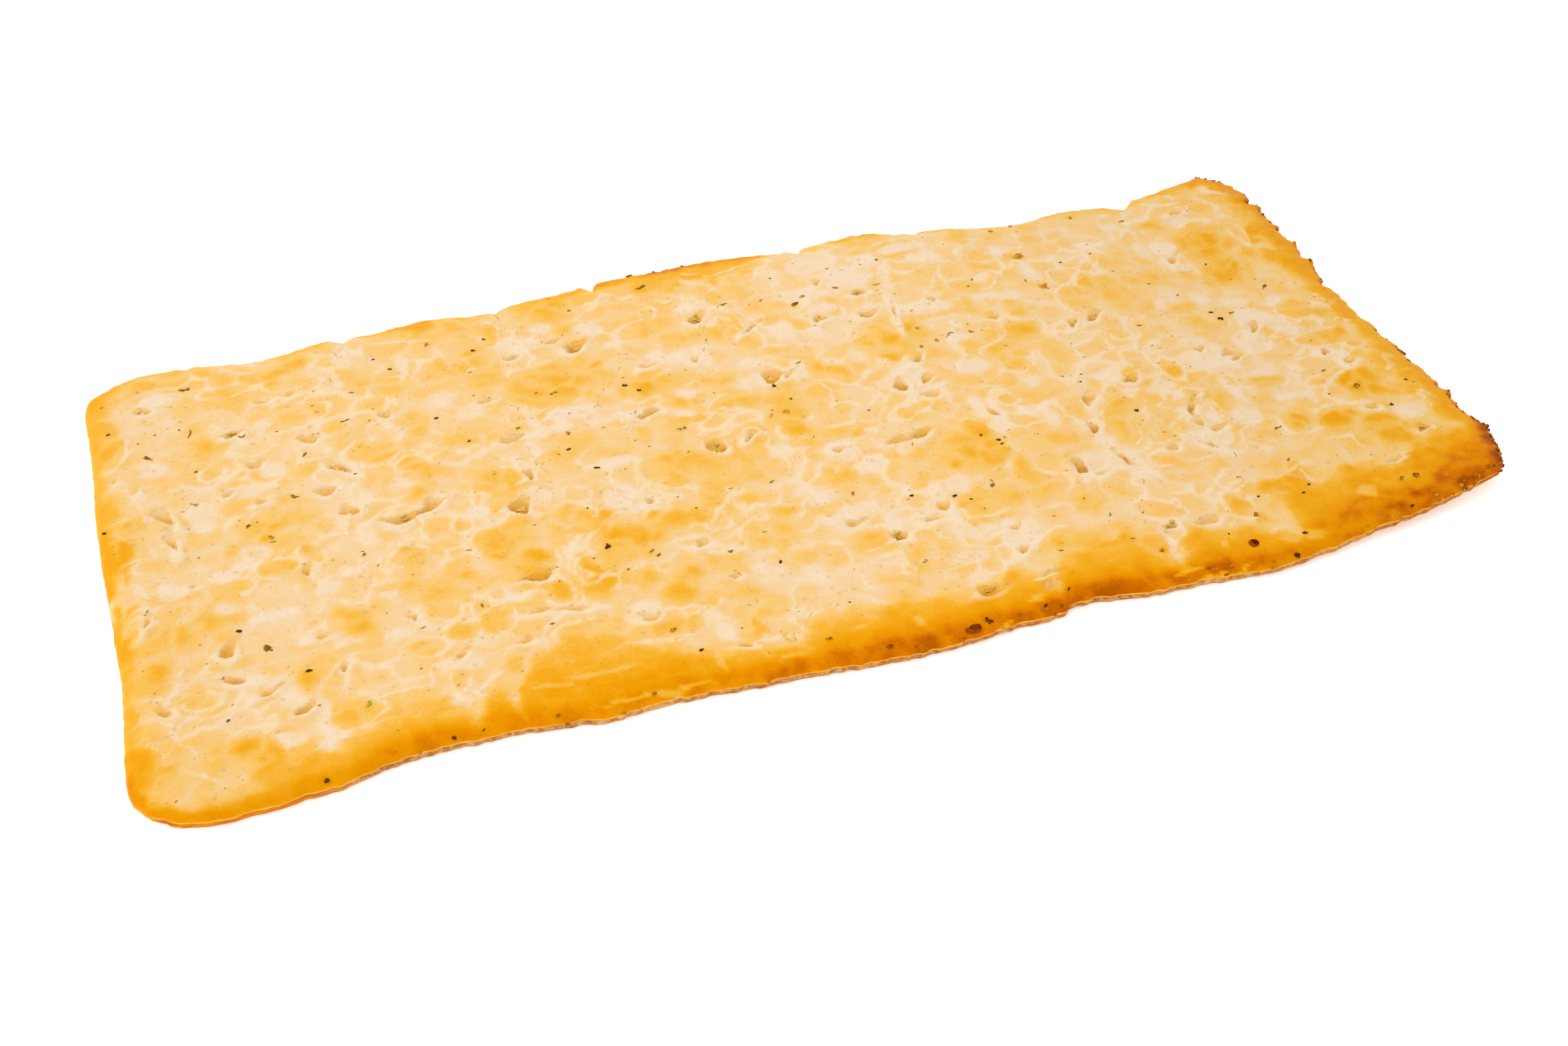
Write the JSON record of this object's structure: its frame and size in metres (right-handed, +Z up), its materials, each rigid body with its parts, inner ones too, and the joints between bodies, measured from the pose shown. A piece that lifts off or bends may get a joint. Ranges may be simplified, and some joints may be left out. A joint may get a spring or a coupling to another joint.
{
  "type": "cauliflower flatbread",
  "caption": "Thin crisp baked flatbread sheet, a rounded rectangle with a wavy crumbly edge, pillowed golden top, small pits and herb flecks; one corner curls up.",
  "frame": {"origin": "under the middle of the sheet's outline, on the plane that its underside rests on", "axes": "+X along the length of the sheet, +Y across it to its back edge, +Z up, out of the browned face"},
  "size_m": [0.163, 0.0842, 0.0041],
  "materials": {
    "baked_dough": "matt to satin baked crust"
  },
  "bodies": {
    "root": {"flatbread": "baked_dough"}
  },
  "joints": []
}
